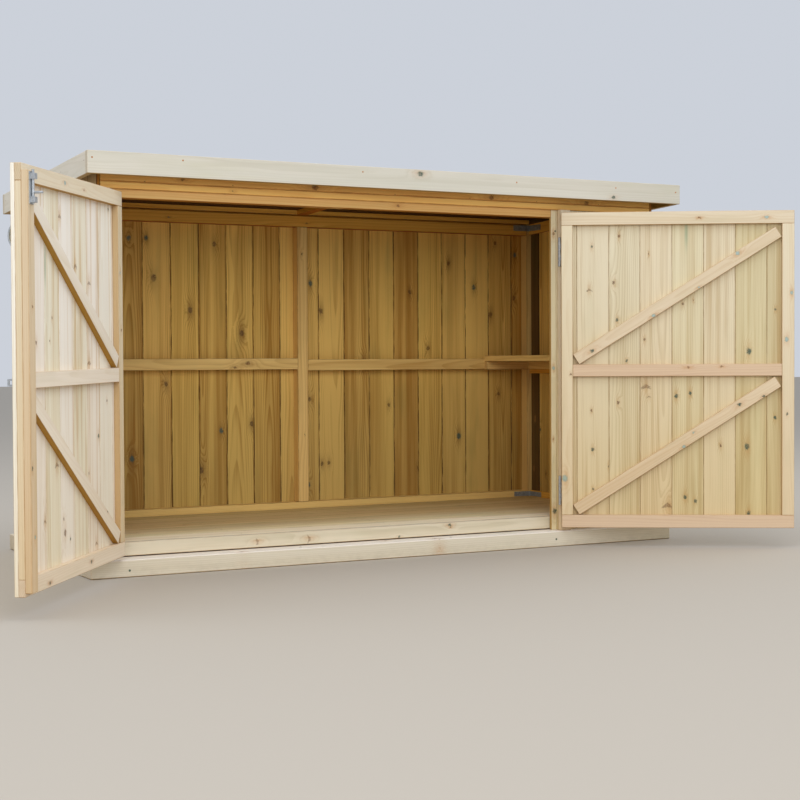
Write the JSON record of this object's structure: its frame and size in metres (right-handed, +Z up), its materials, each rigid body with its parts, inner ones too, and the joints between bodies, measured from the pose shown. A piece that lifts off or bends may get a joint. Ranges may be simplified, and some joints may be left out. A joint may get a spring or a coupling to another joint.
{
  "type": "bike shelter",
  "caption": "Low timber bike shelter with a felted pent roof, boarded walls and floor, and ledged and braced paired doors on butt hinges, with a barrel bolt, standing open.",
  "frame": {"origin": "middle of the underside: on the ground, centred on the walls' length and depth", "axes": "+X runs along the front from the left end to the right end, as seen from the front; -Y is the doorway side; +Z is up"},
  "size_m": [2.9827, 1.693, 1.3697],
  "materials": {
    "board_timber": "pressure-treated softwood boards, sawn to planed, matt",
    "frame_timber": "pressure-treated softwood framing, planed with eased edges",
    "base_timber": "pressure-treated softwood, planed, thick section",
    "fascia_timber": "pressure-treated softwood, planed",
    "roof_felt": "mineral felt, dull",
    "galvanised_steel": "zinc plated, dull"
  },
  "bodies": {
    "shelter": {"base_long_beams": "base_timber", "base_end_beams": "base_timber", "base_bearers": "base_timber", "floor_joists": "frame_timber", "floor_boards": "board_timber", "front_posts": "frame_timber", "front_header_rail": "frame_timber", "front_right_rails": "frame_timber", "front_bottom_rail": "frame_timber", "front_top_board": "fascia_timber", "front_right_boards": "board_timber", "front_trims": "frame_timber", "back_posts": "frame_timber", "back_rails": "frame_timber", "back_boards": "board_timber", "left_end_rails": "frame_timber", "left_end_boards": "board_timber", "right_end_rails": "frame_timber", "right_end_boards": "board_timber", "roof_battens": "frame_timber", "roof_deck": "board_timber", "roof_felt": "roof_felt", "fascia_front": "fascia_timber", "fascia_back": "fascia_timber", "fascia_sides": "fascia_timber", "shelf_board": "board_timber", "shelf_bearers": "frame_timber", "corner_straps": "galvanised_steel", "frame_hinges": "galvanised_steel"},
    "left_door": {"left_door_boards": "board_timber", "left_door_rails": "frame_timber", "left_door_stiles": "frame_timber", "left_door_braces": "frame_timber", "left_door_closing_batten": "frame_timber", "left_door_hinge_knuckles": "galvanised_steel", "left_door_bolt_housing": "galvanised_steel", "left_door_handle": "galvanised_steel", "left_door_staple": "galvanised_steel"},
    "bolt": {"bolt_rod": "galvanised_steel"},
    "right_door": {"right_door_boards": "board_timber", "right_door_rails": "frame_timber", "right_door_stiles": "frame_timber", "right_door_braces": "frame_timber", "right_door_hinge_knuckles": "galvanised_steel", "right_door_hasp": "galvanised_steel"}
  },
  "joints": [
    {"name": "left_door_hinge", "type": "hinge", "parent": "shelter", "child": "left_door", "pos_m": [-1.0661, -0.475, 0.65], "axis": [0, 0, -1], "range_deg": [-126.9, 46]},
    {"name": "right_door_hinge", "type": "hinge", "parent": "shelter", "child": "right_door", "pos_m": [0.6649, -0.475, 0.65], "axis": [0, 0, 1], "range_deg": [-147.7, 25]},
    {"name": "bolt_slide", "type": "slide", "parent": "left_door", "child": "bolt", "axis": [0, 0, 1], "range_m": [0, 0.022]}
  ]
}
